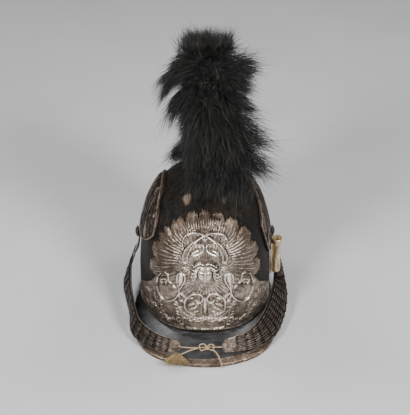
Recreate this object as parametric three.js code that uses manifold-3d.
// Cavalry helmet: a tall black leather skull with a peak and a neck guard, a silvered sunburst plate on the
// front, embossed side plates, chin scales tied together over the peak with a cord, a plume socket and a high
// fur crest. Millimetres, +Z up. The front faces -Y, and the origin is under the middle of the helmet, on the
// surface it stands on.

import * as THREE from "three";
import { mergeVertices } from "three/addons/utils/BufferGeometryUtils.js";
import Module from "manifold-3d";

const wasm = await Module();
wasm.setup();
const { clamp, degToRad, lerp, smoothstep } = THREE.MathUtils;

// Driving dimensions
const SEAT_GAP = 0.4; // clearance between two pieces that sit on each other

const SKULL = {
  halfWidth: 98,
  frontReach: 126,
  backReach: 118,
  centreY: 8,
  baseZ: 20,
  height: 195,
  wall: 3,
  profilePower: 2.85, // 2 is an ellipse, more is squarer
  planPower: 2.15,
  columns: 32,
  rows: 9,
};

const RIM = { lip: 8, metal: 0.9, nose: 1.5, underLip: 4.5, foot: 2.5 };
const PEAK = { reach: 46, fullTurn: 25, endTurn: 82, rootZ: 22, leather: 2.6, columns: 24, rows: 3 };
const GUARD = { reach: 39.5, fullTurn: 150, endTurn: 104, rootZ: 22, leather: 2.6, columns: 22, rows: 3 };
// Each brim falls just far enough for the helmet to stand level on the rim's foot and the guard's edge.
PEAK.drop = (PEAK.rootZ - PEAK.leather / 2 - SEAT_GAP - RIM.metal) / PEAK.reach;
GUARD.drop = (GUARD.rootZ - GUARD.leather / 2) / GUARD.reach;

const PLATE = {
  unroll: 110, // plate coordinates: u = turn round the skull x this radius, v = height
  seat: 1.3,
  centreV: 127,
  middle: 40,
  middleStep: 1,
  metal: 1.2,
  tipReach: 87,
  topTipReach: 75,
  notch: 12,
  topNotch: 6, // at the top of the plate
  groupDeg: 20, // one stepped group of rays
  lastTipDeg: -10,
  flute: 1.1,
  bandBottom: 25.5,
  footArch: 4.5, // how much higher the foot is in the middle
  footArchHalf: 55,
  bandHalf: 126,
  wing: [82, 85],
  wingEnd: [126, 52],
};

// Scrolls and stems on one half of the plate, in plate coordinates; the other half is mirrored.
const SCROLLS = [
  { u: 18, v: 163, radius: 17, endRadius: 15, from: 128, to: -40, width: 4.5, endWidth: 5.5 }, // horn loop
  { u: 50, v: 91, radius: 19, endRadius: 19, from: 60, to: -160, width: 3, endWidth: 3 }, // ribbon ring
  { u: 10.5, v: 83, radius: 22, endRadius: 5, from: -80, to: 250, width: 4.2, endWidth: 3 }, // volute
];
const STEMS = [
  { from: [-27, 142], bend: [-13, 164], to: [9, 178], width: 7.5, endWidth: 4 }, // horn
  { from: [28, 119], bend: [34, 101], to: [30, 80], width: 8.5, endWidth: 3 }, // drop
  { from: [42, 34], bend: [76, 36], to: [116, 50], width: 4, endWidth: 2.5 }, // spray
];
const RELIEF = { height: 2.4, arcStepDeg: 55, stemStep: 17 };

// The calm mask in the middle of the plate.
const MASK = {
  halfWidth: 9.5,
  halfHeight: 12.5,
  rise: 5,
  noseRise: 1.2,
  browRise: 0.4,
  columns: 10,
  hairFrom: 8.5,
  hairReach: 15,
  hairRise: 2.8,
  hairLocks: 7,
};

const SIDE_PLATE = {
  seat: 1.1,
  metal: 1.2,
  crown: 1.3,
  columns: 16,
  leaves: 3,
};
// Where each side plate sits, how far it reaches, how much narrower its lower end is, and how far its top and
// its foot lean to the back. Turns are in degrees from the front.
const SIDE_PLATES = [
  {
    name: "side_plate_left",
    side: -1,
    turn: 94,
    reach: 49,
    z: 153,
    up: 50,
    down: 36,
    taper: 0.3,
    topLean: 0,
    footLean: 0,
  },
  {
    name: "side_plate_right",
    side: 1,
    turn: 92,
    reach: 33,
    z: 154,
    up: 44,
    down: 54,
    taper: 0.55,
    topLean: 24,
    footLean: -20,
  },
];

const SOCKET = {
  x: 106.2,
  y: -2,
  bottomZ: 46,
  topZ: 107,
  outer: 7,
  bore: 5.7,
  floor: 3,
  collar: 8.2,
  collarHeight: 9,
};
const SOCKET_BACK = { width: 12, metal: 1.4, sunk: 0.6, bottomZ: 42, topZ: 100 };

const BOSS = { share: 0.036, radius: 8.5, seat: 0.9, height: 5 };

const STRAP = { leather: 2, steps: 30 };
const SCALE = {
  count: 16,
  seat: 0.6,
  lobes: 4,
  lobeDepth: 3.4,
  metal: 0.9,
  lift: 2.1, // how far the free end stands off the leather
  cover: 1.28, // length of a scale in pitches
  first: 0.16, // share of the strap where the scales start
  last: 0.95,
};
const TIP = { gap: 0.6, nose: 7, wrap: 1.1 };

// Strap sections from the boss to the tip: the lower and the upper edge of the leather's middle surface.
const STRAPS = {
  left: [
    { low: [-98.4, 42, 104], top: [-98.4, 20, 104] },
    { low: [-99.4, 45, 84], top: [-99.4, 12, 84] },
    { low: [-104, 40, 60], top: [-106, 8, 69] },
    { low: [-115, 20, 38], top: [-110.5, -9, 60] },
    { low: [-121.2, -12, 26], top: [-110, -28, 56.5] },
    { low: [-115, -40, 17], top: [-108, -50, 50] },
    { low: [-109, -66, 12], top: [-103.5, -72, 45] },
    { low: [-107.5, -90, 10.5], top: [-99.5, -90, 43] },
    { low: [-104, -106, 10], top: [-92, -112, 41] },
    { low: [-84, -130.5, 11], top: [-74, -131, 38.5] },
    { low: [-64, -142.5, 12.5], top: [-58, -140, 36.5] },
    { low: [-42, -147.5, 13], top: [-41, -143.5, 33] },
  ],
  right: [
    { low: [98.4, 42, 104], top: [98.4, 20, 104] },
    { low: [99.4, 45, 84], top: [99.4, 16, 84] },
    { low: [107, 43, 58], top: [103, 12.5, 60] },
    { low: [116, 28, 38], top: [105, 9, 46] },
    { low: [120.5, 4, 27], top: [104, -10, 38] },
    { low: [122.6, -30, 21], top: [101.5, -30, 42] },
    { low: [119, -60, 14], top: [96, -58, 44] },
    { low: [113, -81, 10.5], top: [90, -80, 44.5] },
    { low: [104.5, -104, 10], top: [83, -98, 43] },
    { low: [84, -130.5, 11], top: [71, -120, 40] },
    { low: [60, -142, 12.5], top: [56, -133, 37] },
    { low: [32, -147.5, 13], top: [31, -142, 33] },
  ],
};

const CORD = { radius: 1, sides: 6, gap: 0.5 };
const KNOT = { centre: [3, -148.5, 23.5], half: [9, 4.5, 5] };
// Free ends of the tie: one reaches the tuft on the rim, the other hangs over the rim's nose.
const TIE_ENDS = {
  tie_end_left: [
    [-6.6, -149.8, 24],
    [-14, -151.2, 22.6],
    [-22, -152.6, 20.6],
    [-30, -155, 18],
    [-38.6, -157.6, 15],
  ],
  tie_end_right: [
    [10.4, -151, 22],
    [15, -154.5, 19.5],
    [19, -159, 15.6],
    [22, -164, 11.2],
    [23.6, -167.4, 6.6],
    [24, -168, 2],
  ],
};
const TUFT = {
  head: [-41, -157, 14.4],
  strips: 7,
  length: 20,
  shortStrip: 0.72,
  fanFrom: 196, // degrees, seen from the front
  fanTo: 344,
  forward: 13,
  droop: 0.45,
  depth: 2.4,
};

// Crest sections round a pivot inside the skull's top, from the front to the back: how far the fur reaches
// from the pivot, and how far it spreads to the left and the right.
const CREST = { pivotY: 10, pivotZ: 190, seat: 1.6, frontSeat: 9, steps: 17 };
const CREST_SECTIONS = [
  { angle: 174, reach: 99, left: 16, right: 44 },
  { angle: 160, reach: 114, left: 20, right: 62 },
  { angle: 142, reach: 144, left: 22, right: 64 },
  { angle: 124, reach: 188, left: 27, right: 58 },
  { angle: 108, reach: 220, left: 42, right: 50 },
  { angle: 92, reach: 230, left: 36, right: 42 },
  { angle: 74, reach: 200, left: 36, right: 38 },
  { angle: 54, reach: 164, left: 40, right: 36 },
  { angle: 34, reach: 138, left: 42, right: 38 },
  { angle: 14, reach: 119, left: 42, right: 38 },
  { angle: -8, reach: 112, left: 34, right: 32 },
];
const LOCK = { radius: 16, length: 36, sides: 4, lift: 0.3, clear: 12 };
// Single locks that stand out of the outline: where they leave the fur and where they end.
const ACCENT_LOCKS = [
  { root: [-10, -48, 360], bend: [-56, -54, 390], tip: [-62, -48, 346], radius: 20 },
  { root: [-12, -56, 336], bend: [-40, -62, 350], tip: [-46, -58, 308], radius: 16 },
  { root: [18, -40, 360], bend: [52, -44, 396], tip: [75, -44, 380], radius: 19 },
  { root: [30, -58, 322], bend: [66, -60, 330], tip: [74, -56, 288], radius: 18 },
  { root: [8, -6, 388], bend: [14, -8, 418], tip: [24, -14, 430], radius: 16 },
  { root: [-6, 10, 388], bend: [-12, 16, 414], tip: [-18, 24, 424], radius: 15 },
];

// Half section from the root to the crown: share of the spread, share of the height.
const CREST_PROFILE = [
  { spread: 0.6, height: 0 },
  { spread: 0.94, height: 0.24 },
  { spread: 1, height: 0.55 },
  { spread: 0.84, height: 0.8 },
  { spread: 0.42, height: 0.96 },
];
const CREST_ROOT = { spread: 0, height: 0 };
const CREST_CROWN = { spread: 0, height: 1 };

// Locks lie on the body like shingles, with their tips down and a little off it.
const LOCK_ROWS = [
  { side: -1, spread: 0.98, height: 0.4, offset: 0 },
  { side: -1, spread: 0.94, height: 0.72, offset: 1 },
  { side: -1, spread: 0.5, height: 0.94, offset: 0 },
  { side: 1, spread: 0.15, height: 0.99, offset: 1 },
  { side: 1, spread: 0.62, height: 0.9, offset: 0 },
  { side: 1, spread: 0.96, height: 0.66, offset: 1 },
  { side: 1, spread: 0.98, height: 0.36, offset: 0 },
];

const MATERIALS = {
  leather: { color: 0x1b1a1a, roughness: 0.42, metalness: 0 },
  silver: { color: 0x8f8580, roughness: 0.4, metalness: 1 },
  bronze: { color: 0x7a6455, roughness: 0.45, metalness: 1 },
  brass: { color: 0xb59a68, roughness: 0.35, metalness: 1 },
  fur: { color: 0x15130f, roughness: 0.8, metalness: 0 },
  cord: { color: 0xb79a72, roughness: 0.9, metalness: 0 },
};

// Points and solids
const point = (x, y, z) => new THREE.Vector3(x, y, z);
const pointOf = (row) => new THREE.Vector3(...row);
const range = (count) => Array.from({ length: count }, (_, i) => i);
const shares = (steps) => range(steps + 1).map((i) => i / steps);
const power = (base, exponent) => Math.sign(base) * Math.abs(base) ** exponent;

function signedVolume(points, triangles) {
  let sum = 0;
  for (let i = 0; i < triangles.length; i += 3) {
    const [a, b, c] = [points[triangles[i]], points[triangles[i + 1]], points[triangles[i + 2]]];
    sum += a.dot(b.clone().cross(c));
  }
  return sum / 6;
}

// Triangles that close a ring of points, found in the plane that the ring lies nearest to.
function capTriangles(ring) {
  const normal = new THREE.Vector3();
  ring.forEach((p, i) => normal.add(p.clone().cross(ring[(i + 1) % ring.length])));
  normal.normalize();
  const across = Math.abs(normal.z) < 0.9 ? point(0, 0, 1).cross(normal).normalize() : point(1, 0, 0);
  const up = normal.clone().cross(across);
  const flat = ring.map((p) => new THREE.Vector2(p.dot(across), p.dot(up)));
  return THREE.ShapeUtils.triangulateShape(flat, []);
}

// Triangles between rings of points, each ring joined to the next one.
function bandTriangles(ringCount, size, closes) {
  const triangles = [];
  const count = ringCount * size;
  for (let r = 0; r < (closes ? ringCount : ringCount - 1); r++) {
    for (let i = 0; i < size; i++) {
      const a = r * size + i;
      const b = r * size + ((i + 1) % size);
      const [c, d] = [(b + size) % count, (a + size) % count];
      triangles.push(a, b, c, a, c, d);
    }
  }
  return triangles;
}

function bodyOf(points, triangles) {
  if (signedVolume(points, triangles) < 0) triangles.reverse();
  return new THREE.BufferGeometry().setFromPoints(points).setIndex(triangles);
}

// A closed body through rings of points, with a cap at each end.
function loft(rings) {
  const size = rings[0].length;
  const points = rings.flat();
  const triangles = bandTriangles(rings.length, size, false);
  const last = points.length - size;
  capTriangles(rings[0]).forEach(([a, b, c]) => triangles.push(a, c, b));
  capTriangles(rings[rings.length - 1]).forEach(([a, b, c]) => triangles.push(last + a, last + b, last + c));
  return bodyOf(points, triangles);
}

// A closed body through rings of points, whose last ring joins the first one.
const closedLoft = (rings) => bodyOf(rings.flat(), bandTriangles(rings.length, rings[0].length, true));

function solidOf(geometry) {
  const bare = geometry.index ? geometry.toNonIndexed() : geometry.clone();
  bare.deleteAttribute("normal");
  bare.deleteAttribute("uv");
  const merged = mergeVertices(bare, 1e-3);
  return new wasm.Manifold(
    new wasm.Mesh({
      numProp: 3,
      vertProperties: merged.attributes.position.array,
      triVerts: new Uint32Array(merged.index.array),
    }),
  );
}

function geometryOf(solid) {
  const made = solid.getMesh();
  const geometry = new THREE.BufferGeometry();
  geometry.setAttribute("position", new THREE.BufferAttribute(made.vertProperties, 3));
  return geometry.setIndex(new THREE.BufferAttribute(made.triVerts, 1));
}

const fuse = (geometries) =>
  geometryOf(geometries.map(solidOf).reduce((whole, next) => whole.add(next)));

// A tube along a curve, with flat ends.
function tube(curve, radius, sides, steps) {
  const section = new THREE.Shape();
  range(sides).forEach((i) => {
    const angle = (i / sides) * 2 * Math.PI;
    const [x, y] = [radius * Math.cos(angle), radius * Math.sin(angle)];
    if (i === 0) section.moveTo(x, y);
    else section.lineTo(x, y);
  });
  return new THREE.ExtrudeGeometry(section, { steps, extrudePath: curve, bevelEnabled: false });
}

// A body of round rings along a curve, whose radius falls to a small tip.
function taperedLock(root, bend, tip, radius, sides, steps) {
  const curve = new THREE.QuadraticBezierCurve3(root, bend, tip);
  const rings = shares(steps).map((t) => {
    const along = curve.getTangent(t);
    const across = Math.abs(along.z) < 0.9 ? point(0, 0, 1).cross(along) : point(1, 0, 0).cross(along);
    across.normalize();
    const other = along.clone().cross(across);
    const size = radius * (1 - t) ** 0.7 + 0.5;
    return range(sides).map((i) => {
      const angle = (i / sides) * 2 * Math.PI;
      return curve
        .getPoint(t)
        .addScaledVector(across, size * Math.cos(angle))
        .addScaledVector(other, size * Math.sin(angle));
    });
  });
  return loft(rings);
}

// Skull
// How much narrower the skull is at a height than at its base.
function skullNarrowing(z, grow) {
  const share = clamp((z - SKULL.baseZ) / (SKULL.height + grow), 0, 1);
  return (1 - share ** SKULL.profilePower) ** (1 / SKULL.profilePower);
}

// Point on the skull at a turn from the front, towards +X, and a height. Grow moves the surface outwards.
function skullPoint(turn, z, grow = 0) {
  const narrowing = skullNarrowing(z, grow);
  const halfX = (SKULL.halfWidth + grow) * narrowing;
  const halfY = ((Math.cos(turn) > 0 ? SKULL.frontReach : SKULL.backReach) + grow) * narrowing;
  const n = SKULL.planPower;
  const spread = (Math.abs(Math.sin(turn)) / halfX) ** n + (Math.abs(Math.cos(turn)) / halfY) ** n;
  const radius = spread ** (-1 / n);
  return point(radius * Math.sin(turn), SKULL.centreY - radius * Math.cos(turn), z);
}

// Below 1 inside the skull grown by that much, above 1 outside it.
function skullDepth(p, grow) {
  const narrowing = skullNarrowing(p.z, grow);
  if (p.z > SKULL.baseZ + SKULL.height + grow || narrowing <= 0) return 2;
  const dy = p.y - SKULL.centreY;
  const halfY = (dy < 0 ? SKULL.frontReach : SKULL.backReach) + grow;
  const n = SKULL.planPower;
  return (
    (Math.abs(p.x) / ((SKULL.halfWidth + grow) * narrowing)) ** n + (Math.abs(dy) / (halfY * narrowing)) ** n
  );
}

function skullRing(row, grow) {
  const rise = degToRad((90 * row) / SKULL.rows);
  const z = SKULL.baseZ + (SKULL.height + grow) * Math.sin(rise) ** (2 / SKULL.profilePower);
  return range(SKULL.columns).map((i) => skullPoint((i / SKULL.columns) * 2 * Math.PI, z, grow));
}

function skullShell() {
  const rows = range(SKULL.rows);
  const outside = rows.map((row) => skullRing(row, 0)).reverse();
  const inside = rows.map((row) => skullRing(row, -SKULL.wall));
  return loft([...outside, ...inside]);
}

// Peak, its metal rim and the neck guard
// How far a brim stands out of the skull at a turn from its own middle, in degrees.
const peakReach = (turnDeg) => PEAK.reach * (1 - smoothstep(Math.abs(turnDeg), PEAK.fullTurn, PEAK.endTurn));
const guardReach = (turnDeg) => GUARD.reach * smoothstep(Math.abs(turnDeg), GUARD.endTurn, GUARD.fullTurn);

// Point on a brim's middle surface: share runs from the skull to the outer edge.
function brimPoint(brim, reach, turn, share) {
  const root = skullPoint(turn, brim.rootZ, SEAT_GAP);
  const out = point(Math.sin(turn), -Math.cos(turn), 0);
  return root.addScaledVector(out, reach * share).setZ(brim.rootZ - reach * share * brim.drop);
}

function peakSheet() {
  const minReach = 2;
  const rings = shares(PEAK.columns).map((t) => {
    const turnDeg = lerp(-PEAK.endTurn, PEAK.endTurn, t);
    const reach = Math.max(peakReach(turnDeg), minReach);
    const line = shares(PEAK.rows).map((s) => brimPoint(PEAK, reach, degToRad(turnDeg), s));
    const half = PEAK.leather / 2;
    const above = line.map((p) => p.clone().setZ(p.z + half));
    const below = line.map((p) => p.clone().setZ(p.z - half)).reverse();
    return [...above, ...below];
  });
  return loft(rings);
}

// The rim folds over the peak's edge, and its foot is flat where the helmet stands on it.
function peakRim() {
  const columns = PEAK.columns - 4;
  const endDeg = (PEAK.endTurn * columns) / PEAK.columns;
  const rings = shares(columns).map((t) => {
    const turnDeg = lerp(-endDeg, endDeg, t);
    const turn = degToRad(turnDeg);
    const out = point(Math.sin(turn), -Math.cos(turn), 0);
    const reach = peakReach(turnDeg);
    const edge = brimPoint(PEAK, reach, turn, 1);
    const half = PEAK.leather / 2 + SEAT_GAP;
    const lip = Math.min(RIM.lip, reach * 0.6);
    const underLip = Math.min(RIM.underLip, reach * 0.4);
    const at = (inward, rise) =>
      edge.clone().addScaledVector(out, -inward).setZ(edge.z + inward * PEAK.drop + rise);
    const footZ = edge.z - half - RIM.metal;
    return [
      at(-RIM.nose, 0).setZ(footZ),
      at(-RIM.nose, half * 0.6),
      at(0, half + RIM.metal),
      at(lip, half + RIM.metal),
      at(lip, half),
      at(-SEAT_GAP, half),
      at(-SEAT_GAP, -half),
      at(underLip, -half),
      at(underLip, -half - RIM.metal * 0.8),
      at(RIM.foot - RIM.nose, 0).setZ(footZ),
    ];
  });
  return loft(rings);
}

// The guard's outer edge is cut flat, because the helmet stands on it.
function neckGuard() {
  const minReach = 2;
  const footZ = 0;
  const rings = shares(GUARD.columns).map((t) => {
    const turnDeg = lerp(GUARD.endTurn, 360 - GUARD.endTurn, t);
    const fromBack = turnDeg > 180 ? 360 - turnDeg : turnDeg;
    const reach = Math.max(guardReach(fromBack), minReach);
    const line = shares(GUARD.rows).map((s) => brimPoint(GUARD, reach, degToRad(turnDeg), s));
    const half = GUARD.leather / 2;
    const above = line.map((p) => p.clone().setZ(p.z + half));
    const below = line.map((p) => p.clone().setZ(Math.max(p.z - half, footZ))).reverse();
    return [...above, ...below];
  });
  return loft(rings);
}

// Front plate
const platePoint = (u, v, rise) => skullPoint(u / PLATE.unroll, v, PLATE.seat + rise);

// A curved sheet with an outline that its centre can see all of: the rings run over its face and back
// under it.
function outlineSheet(outline, centre, steps, faceRise, place) {
  const ringAt = (share, rise) =>
    outline.map(([u, v], i) => place(lerp(centre[0], u, share), lerp(centre[1], v, share), rise(share, i)));
  const face = steps.map((share) => ringAt(share, faceRise));
  const back = [...steps].reverse().map((share) => ringAt(share, () => 0));
  return loft([...face, ...back]);
}

// The same with an open round middle: the rings run from a circle to the outline, and close on themselves.
function ringSheet(outline, centre, innerRadius, steps, faceRise, place) {
  const inner = outline.map(([u, v]) => {
    const out = new THREE.Vector2(u - centre[0], v - centre[1]).setLength(innerRadius);
    return [centre[0] + out.x, centre[1] + out.y];
  });
  const ringAt = (share, rise) =>
    outline.map(([u, v], i) =>
      place(lerp(inner[i][0], u, share), lerp(inner[i][1], v, share), rise(share, i)),
    );
  const face = steps.map((share) => ringAt(share, faceRise));
  const back = [...steps].reverse().map((share) => ringAt(share, () => 0));
  return closedLoft([...face, ...back]);
}

// How far the sunburst reaches at an angle from +u, with a step in after each group of rays.
function sunburstReach(angleDeg, atNotch) {
  const upward = Math.max(Math.sin(degToRad(angleDeg)), 0) ** 3;
  const tip = lerp(PLATE.tipReach, PLATE.topTipReach, upward);
  return atNotch ? tip - lerp(PLATE.notch, PLATE.topNotch, upward) : tip;
}

// The plate's outline: groups of rays over the top, then a low wing on each side and a slightly arched foot.
function plateOutline() {
  const polar = (deg, reach) => [
    reach * Math.cos(degToRad(deg)),
    PLATE.centreV + reach * Math.sin(degToRad(deg)),
  ];
  const half = PLATE.groupDeg / 2;
  const tips = 1 + (2 * (90 - PLATE.lastTipDeg)) / PLATE.groupDeg;
  const rays = range(tips).flatMap((i) => {
    const tip = PLATE.lastTipDeg + i * PLATE.groupDeg;
    return [
      polar(tip - half, sunburstReach(tip - half, true)),
      polar(tip - half * 0.5, sunburstReach(tip, false)),
      polar(tip + half * 0.5, sunburstReach(tip, false)),
    ];
  });
  const lastNotch = 180 - PLATE.lastTipDeg + half;
  const mirror = ([u, v]) => [-u, v];
  const wing = shares(3).map((t) => [
    lerp(PLATE.wing[0], PLATE.wingEnd[0], t),
    lerp(PLATE.wing[1], PLATE.wingEnd[1], t),
  ]);
  const footSteps = 13;
  const foot = shares(footSteps).map((t) => {
    const u = lerp(-PLATE.bandHalf, PLATE.bandHalf, t);
    const arch = PLATE.footArch * (1 - smoothstep(Math.abs(u), 0, PLATE.footArchHalf));
    return [u, PLATE.bandBottom + arch];
  });
  return [
    ...rays,
    polar(lastNotch, sunburstReach(lastNotch, true)),
    ...wing.map(mirror),
    ...foot,
    ...[...wing].reverse(),
  ];
}

// The rays are fluted: each group's notch lines lie low and its shoulders stand up, more towards the edge.
function sunburst() {
  const rayColumns = 3 + (6 * (90 - PLATE.lastTipDeg)) / PLATE.groupDeg;
  const rise = (share, i) => {
    const isShoulder = i < rayColumns && i % 3 !== 0;
    return PLATE.metal + (isShoulder ? PLATE.flute * smoothstep(share, 0.1, 0.5) : 0);
  };
  const steps = [0, 0.25, 0.5, 0.76, 1];
  return ringSheet(plateOutline(), [0, PLATE.centreV], PLATE.middle - 4, steps, rise, platePoint);
}

// The middle of the plate, under the mask and the scrolls, stands a step above the rays.
function plateMiddle() {
  const columns = 20;
  const outline = range(columns).map((i) => {
    const angle = (i / columns) * 2 * Math.PI;
    return [PLATE.middle * Math.cos(angle), PLATE.centreV + PLATE.middle * Math.sin(angle)];
  });
  const place = (u, v, rise) => platePoint(u, v, rise + PLATE.middleStep / 2);
  const rise = () => PLATE.metal + PLATE.middleStep / 2;
  return outlineSheet(outline, [0, PLATE.centreV], [0.35, 0.7, 1], rise, place);
}

// A raised bead along a curve in plate coordinates.
function bead(curve, steps, widthFrom, widthTo, height) {
  const sunk = PLATE.metal * 0.1;
  const rings = shares(steps).map((t) => {
    const centre = curve.getPoint(t);
    const along = curve.getTangent(t);
    const across = new THREE.Vector2(-along.y, along.x);
    const half = lerp(widthFrom, widthTo, t) / 2;
    const at = (side, rise) =>
      platePoint(centre.x + across.x * half * side, centre.y + across.y * half * side, rise);
    return [at(-1, sunk), at(0, PLATE.metal + height), at(1, sunk)];
  });
  return loft(rings);
}

// A spiral or arc about a centre in plate coordinates, angles in degrees from +u.
class Spiral extends THREE.Curve {
  constructor(row) {
    super();
    this.row = row;
  }
  getPoint(t) {
    const { u, v, radius, endRadius, from, to } = this.row;
    const angle = degToRad(lerp(from, to, t));
    const reach = lerp(radius, endRadius, t);
    return new THREE.Vector2(u + reach * Math.cos(angle), v + reach * Math.sin(angle));
  }
}

function plateScrolls() {
  const beads = [];
  for (const side of [1, -1]) {
    for (const row of SCROLLS) {
      const curve = new Spiral(
        side > 0 ? row : { ...row, u: -row.u, from: 180 - row.from, to: 180 - row.to },
      );
      const steps = Math.ceil(Math.abs(row.to - row.from) / RELIEF.arcStepDeg);
      beads.push(bead(curve, steps, row.width, row.endWidth, RELIEF.height));
    }
    for (const row of STEMS) {
      const controls = [row.from, row.bend, row.to].map(([u, v]) => new THREE.Vector2(side * u, v));
      const curve = new THREE.QuadraticBezierCurve(...controls);
      const steps = Math.ceil(curve.getLength() / RELIEF.stemStep);
      beads.push(bead(curve, steps, row.width, row.endWidth, RELIEF.height));
    }
  }
  return beads;
}

// A rounded face with brow, nose and chin, in a ring of hair locks.
function mask() {
  const oval = (share, rise) =>
    range(MASK.columns).map((i) => {
      const angle = (i / MASK.columns) * 2 * Math.PI;
      const u = MASK.halfWidth * Math.cos(angle) * share;
      const v = MASK.halfHeight * Math.sin(angle) * share;
      return platePoint(u, PLATE.centreV + v, rise);
    });
  const dome = (share) => PLATE.metal - 0.3 + MASK.rise * Math.sqrt(1 - share ** 2);
  const face = loft([oval(1, PLATE.metal * 0.1), oval(0.95, dome(0.95)), oval(0.62, dome(0.62))]);
  const spot = (u, v) => new THREE.Vector2(u, PLATE.centreV + v);
  const line = (from, to) => new THREE.LineCurve(spot(...from), spot(...to));
  const nose = bead(line([0, 3], [0, -3.2]), 1, 1.6, 3.6, MASK.rise + MASK.noseRise);
  const brow = bead(line([-6, 3.4], [6, 3.4]), 2, 1.8, 1.8, MASK.rise + MASK.browRise);
  const locks = range(MASK.hairLocks).map((i) => {
    const angle = degToRad(lerp(-35, 215, i / (MASK.hairLocks - 1)));
    const at = (reach) => [Math.cos(angle) * reach, Math.sin(angle) * reach * 1.12];
    return bead(line(at(MASK.hairFrom), at(MASK.hairReach)), 1, 5, 3, MASK.hairRise);
  });
  return [face, nose, brow, ...locks];
}

const frontPlate = () => fuse([plateMiddle(), sunburst(), ...plateScrolls(), ...mask()]);

// Side plates: a wing-shaped sheet with a raised border and leaf ribs
function sidePlateOutline(row) {
  return range(SIDE_PLATE.columns).map((i) => {
    const angle = (i / SIDE_PLATE.columns) * 2 * Math.PI;
    const [c, s] = [power(Math.cos(angle), 0.8), power(Math.sin(angle), 0.9)];
    const [above, below] = [Math.max(s, 0), Math.max(-s, 0)];
    const reach = row.reach * c * (1 - row.taper * below);
    const turnDeg = row.turn - reach + row.topLean * above + row.footLean * below;
    return [row.side * degToRad(turnDeg), row.z + s * (s > 0 ? row.up : row.down)];
  });
}

function sidePlate(row) {
  const place = (turn, z, rise) => skullPoint(turn, z, SIDE_PLATE.seat + rise);
  const centre = [row.side * degToRad(row.turn), row.z];
  const crown = SIDE_PLATE.metal + SIDE_PLATE.crown;
  const border = 0.9;
  const steps = [0.22, 0.44, 0.63, 0.8, border, 0.98];
  const rise = (share) => (share === border ? crown : SIDE_PLATE.metal);
  const sheet = outlineSheet(sidePlateOutline(row), centre, steps, rise, place);
  const ribs = range(SIDE_PLATE.leaves).map((i) => {
    const z = row.z + lerp(row.up * 0.45, -row.down * 0.45, i / (SIDE_PLATE.leaves - 1));
    const [halfTurn, halfRise, climb] = [degToRad(11), 5, 8];
    const at = (share, dz, height) =>
      place(centre[0] - row.side * halfTurn * share, z + climb * share + dz, height);
    return loft(
      [-1, 0, 1].map((share) => [
        at(share, -halfRise, SIDE_PLATE.metal * 0.2),
        at(share, 0, crown),
        at(share, halfRise, SIDE_PLATE.metal * 0.2),
      ]),
    );
  });
  return fuse([sheet, ...ribs]);
}

// Plume socket: a tube with a collar, closed below, soldered to a flat back strip
function plumeSocket() {
  const S = SOCKET;
  const profile = [
    [0, S.bottomZ],
    [S.outer, S.bottomZ],
    [S.outer, S.topZ - S.collarHeight],
    [S.collar, S.topZ - S.collarHeight + 1],
    [S.collar, S.topZ],
    [S.bore, S.topZ],
    [S.bore, S.bottomZ + S.floor],
    [0, S.bottomZ + S.floor],
  ].map(([r, z]) => new THREE.Vector2(r, z));
  const barrel = new THREE.LatheGeometry(profile, 16).rotateX(Math.PI / 2).translate(S.x, S.y, 0);
  const B = SOCKET_BACK;
  const back = new THREE.BoxGeometry(B.metal, B.width, B.topZ - B.bottomZ);
  back.translate(S.x - S.outer - B.metal / 2 + B.sunk, S.y, (B.topZ + B.bottomZ) / 2);
  return fuse([barrel, back]);
}

// Chin straps, their scales, tips and bosses
const strapCurves = Object.fromEntries(
  Object.entries(STRAPS).map(([side, rows]) => [
    side,
    {
      low: new THREE.CatmullRomCurve3(rows.map((row) => pointOf(row.low))),
      top: new THREE.CatmullRomCurve3(rows.map((row) => pointOf(row.top))),
      outSign: side === "left" ? -1 : 1,
    },
  ]),
);

// Point on a strap: t from boss to tip, w from the lower to the upper edge, rise outwards from the middle
// surface.
function strapPoint(curves, t, w, rise) {
  const low = curves.low.getPoint(t);
  const top = curves.top.getPoint(t);
  const along = curves.low.getTangent(t).add(curves.top.getTangent(t));
  const outward = along.cross(top.clone().sub(low)).multiplyScalar(-curves.outSign).normalize();
  if (outward.x * curves.outSign < -0.2) outward.negate();
  return low.lerp(top, w).addScaledVector(outward, rise);
}

function strapLeather(curves) {
  const half = STRAP.leather / 2;
  return loft(
    shares(STRAP.steps).map((s) => [
      strapPoint(curves, s, 0, half),
      strapPoint(curves, s, 1, half),
      strapPoint(curves, s, 1, -half),
      strapPoint(curves, s, 0, -half),
    ]),
  );
}

// One scale: a thin wedge that rises towards its lobed free end and covers the foot of the next one.
function chinScale(curves, index) {
  const pitch = (SCALE.last - SCALE.first) / SCALE.count;
  const from = SCALE.first + index * pitch;
  const to = from + pitch * SCALE.cover;
  const length = curves.low.getPoint(from).distanceTo(curves.low.getPoint(to));
  const notch = (SCALE.lobeDepth / length) * (to - from);
  const seat = STRAP.leather / 2 + SCALE.seat;
  const margin = 0.02;
  const rings = shares(SCALE.lobes * 2).map((w, i) => {
    const end = i % 2 ? to : to - notch;
    const across = lerp(margin, 1 - margin, w);
    const under = seat + SCALE.lift * ((end - from) / (to - from));
    return [
      strapPoint(curves, from, across, seat),
      strapPoint(curves, end, across, under + SCALE.metal),
      strapPoint(curves, end, across, under),
    ];
  });
  return loft(rings);
}

// The way that a strap points at its end.
const strapHeading = (curves) => curves.top.getTangent(1).add(curves.low.getTangent(1)).normalize();

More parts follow.
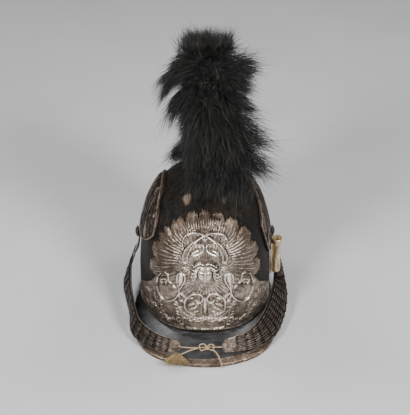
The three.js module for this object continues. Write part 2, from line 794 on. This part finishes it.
// The metal cap on the strap's end, with a rounded nose.
function strapTip(curves) {
  const heading = strapHeading(curves);
  const half = STRAP.leather / 2 + TIP.wrap;
  const edge = half * 0.6;
  const rings = [0, 0.55, 0.9, 1].map((s) => {
    const spread = Math.sqrt(Math.max(1 - s ** 2, 0.08));
    const shift = heading.clone().multiplyScalar(s * TIP.nose + TIP.gap);
    const at = (w, rise) =>
      strapPoint(curves, 1, 0.5 + (w - 0.5) * spread, rise * lerp(1, spread, 0.5)).add(shift);
    return [at(0, edge), at(0.2, half), at(0.8, half), at(1, edge), at(1, -edge), at(0, -edge)];
  });
  return loft(rings);
}

// A domed disc that holds the strap to the skull; it stands square on the strap.
function strapBoss(curves) {
  const profile = [
    [0, 0],
    [BOSS.radius, 0],
    [BOSS.radius, BOSS.height * 0.4],
    [BOSS.radius * 0.72, BOSS.height * 0.85],
    [0, BOSS.height],
  ].map(([r, z]) => new THREE.Vector2(r, z));
  const foot = strapPoint(curves, BOSS.share, 0.5, STRAP.leather / 2 + BOSS.seat);
  const outward = strapPoint(curves, BOSS.share, 0.5, STRAP.leather / 2 + BOSS.seat + 1).sub(foot);
  const turn = new THREE.Quaternion().setFromUnitVectors(point(0, 1, 0), outward.normalize());
  return new THREE.LatheGeometry(profile, 16).applyQuaternion(turn).translate(...foot.toArray());
}

// Tie cord: from one strap's end to a knot and on to the other strap's end
function tipEnd(side) {
  const curves = strapCurves[side];
  const start = TIP.gap + TIP.nose + CORD.gap;
  return strapPoint(curves, 1, 0.5, 0).addScaledVector(strapHeading(curves), start);
}

function tieCord() {
  const knot = pointOf(KNOT.centre);
  const run = (side, sag) => {
    const start = tipEnd(side);
    const middle = start.clone().lerp(knot, 0.5);
    middle.z -= sag;
    return tube(new THREE.QuadraticBezierCurve3(start, middle, knot), CORD.radius, CORD.sides, 4);
  };
  const lump = new THREE.SphereGeometry(1, 10, 6).scale(...KNOT.half).translate(...KNOT.centre);
  return fuse([run("left", 2.5), run("right", 1), lump]);
}

const tieEnd = (route) =>
  tube(new THREE.CatmullRomCurve3(route.map(pointOf)), CORD.radius, CORD.sides, route.length + 3);

// The frayed tuft: strips of unequal length that fan out of one head and lie over the rim.
function tieTuft() {
  const head = pointOf(TUFT.head);
  const root = 0.1;
  return loft(
    shares(TUFT.strips * 2).map((t, i) => {
      const fan = degToRad(lerp(TUFT.fanFrom, TUFT.fanTo, t));
      const reach = TUFT.length * (i % 2 ? 1 : TUFT.shortStrip);
      const along = point(Math.cos(fan), -TUFT.forward / TUFT.length, Math.sin(fan) * TUFT.droop);
      const at = (length, rise) =>
        head.clone().addScaledVector(along, length).add(point(0, -rise / 2, rise));
      const middle = TUFT.length * 0.5;
      return [
        at(TUFT.length * root, TUFT.depth),
        at(middle, TUFT.depth),
        at(reach, 0.8),
        at(reach, -0.4),
        at(middle, -0.8),
        at(TUFT.length * root, -TUFT.depth),
      ];
    }),
  );
}

// Fur crest: a body through the crest sections, with locks all over it
const crestDirection = (angleDeg) => point(0, Math.cos(degToRad(angleDeg)), Math.sin(degToRad(angleDeg)));
const crestPivot = point(0, CREST.pivotY, CREST.pivotZ);

// Distance from the pivot to just above the skull, x to its side; over the front plate the fur stands
// further off.
function crestSeat(angleDeg, x) {
  const direction = crestDirection(angleDeg);
  let [inside, outside] = [0, 200];
  for (let i = 0; i < 30; i++) {
    const middle = (inside + outside) / 2;
    const p = crestPivot.clone().addScaledVector(direction, middle).setX(x);
    if (skullDepth(p, 0) < 1) inside = middle;
    else outside = middle;
  }
  return outside + lerp(CREST.seat, CREST.frontSeat, smoothstep(angleDeg, 124, 152));
}

function crestPoint(section, side, row) {
  const x = side * (side < 0 ? section.left : section.right) * row.spread;
  const seat = crestSeat(section.angle, x);
  return crestPivot
    .clone()
    .addScaledVector(crestDirection(section.angle), lerp(seat, section.reach, row.height))
    .setX(x);
}

// A section between those of the table, at a share of the way from the front to the back.
function crestSection(share) {
  const place = share * (CREST_SECTIONS.length - 1);
  const index = Math.min(Math.floor(place), CREST_SECTIONS.length - 2);
  const [a, b] = [CREST_SECTIONS[index], CREST_SECTIONS[index + 1]];
  const mix = (key) => lerp(a[key], b[key], place - index);
  return { angle: mix("angle"), reach: mix("reach"), left: mix("left"), right: mix("right") };
}

function crestBody() {
  return loft(
    shares(CREST.steps).map((share) => {
      const section = crestSection(share);
      const half = (side) => CREST_PROFILE.map((row) => crestPoint(section, side, row));
      return [
        crestPoint(section, 1, CREST_ROOT),
        ...half(-1),
        crestPoint(section, 1, CREST_CROWN),
        ...half(1).reverse(),
      ];
    }),
  );
}

// The way down along a surface that faces outward; on a level crown it is the way to the nearer end.
function downAlong(outward) {
  const down = point(0, 0, -1).addScaledVector(outward, outward.z);
  return down.length() > 0.15 ? down.normalize() : point(0, Math.sign(outward.y) || 1, 0);
}

function crestLocks() {
  const locks = [];
  CREST_SECTIONS.forEach((section, s) => {
    LOCK_ROWS.forEach((row, r) => {
      if ((s + row.offset) % 2) return;
      const skin = crestPoint(section, row.side, row);
      const core = crestPoint(section, row.side, { spread: row.spread * 0.4, height: row.height * 0.8 });
      const outward = skin.clone().sub(core).normalize();
      const flow = downAlong(outward).lerp(outward, LOCK.lift).normalize();
      const length = LOCK.length * (0.8 + 0.4 * (((s * 7 + r * 5) % 11) / 10));
      const root = skin
        .clone()
        .addScaledVector(outward, -LOCK.radius * 0.8)
        .addScaledVector(flow, -length * 0.3);
      const bend = skin.clone().addScaledVector(outward, LOCK.radius * 0.3);
      const tip = skin.clone().addScaledVector(flow, length * 0.8);
      if ([root, skin, bend, tip].some((p) => skullDepth(p, LOCK.clear) < 1)) return;
      locks.push(taperedLock(root, bend, tip, LOCK.radius, LOCK.sides, 2));
    });
  });
  return locks;
}

function furCrest() {
  const accents = ACCENT_LOCKS.map((row) =>
    taperedLock(pointOf(row.root), pointOf(row.bend), pointOf(row.tip), row.radius, LOCK.sides, 3),
  );
  return fuse([crestBody(), ...crestLocks(), ...accents]);
}

// The helmet
const helmet = new THREE.Group();
function add(name, geometry, material) {
  const mesh = new THREE.Mesh(geometry, new THREE.MeshStandardMaterial(MATERIALS[material]));
  mesh.name = name;
  helmet.add(mesh);
}

add("skull", skullShell(), "leather");
add("front_peak", peakSheet(), "leather");
add("peak_rim", peakRim(), "silver");
add("neck_guard", neckGuard(), "leather");
add("front_plate", frontPlate(), "silver");
SIDE_PLATES.forEach((row) => add(row.name, sidePlate(row), "bronze"));
add("plume_socket", plumeSocket(), "brass");
for (const [side, curves] of Object.entries(strapCurves)) {
  add(`chin_strap_${side}`, strapLeather(curves), "leather");
  range(SCALE.count).forEach((i) =>
    add(`chin_scale_${side}_${String(i + 1).padStart(2, "0")}`, chinScale(curves, i), "bronze"),
  );
  add(`strap_tip_${side}`, strapTip(curves), "silver");
  add(`strap_boss_${side}`, strapBoss(curves), "bronze");
}
add("fur_crest", furCrest(), "fur");
add("tie_cord", tieCord(), "cord");
for (const [name, route] of Object.entries(TIE_ENDS)) add(name, tieEnd(route), "cord");
add("tie_tuft", tieTuft(), "cord");

export default helmet;
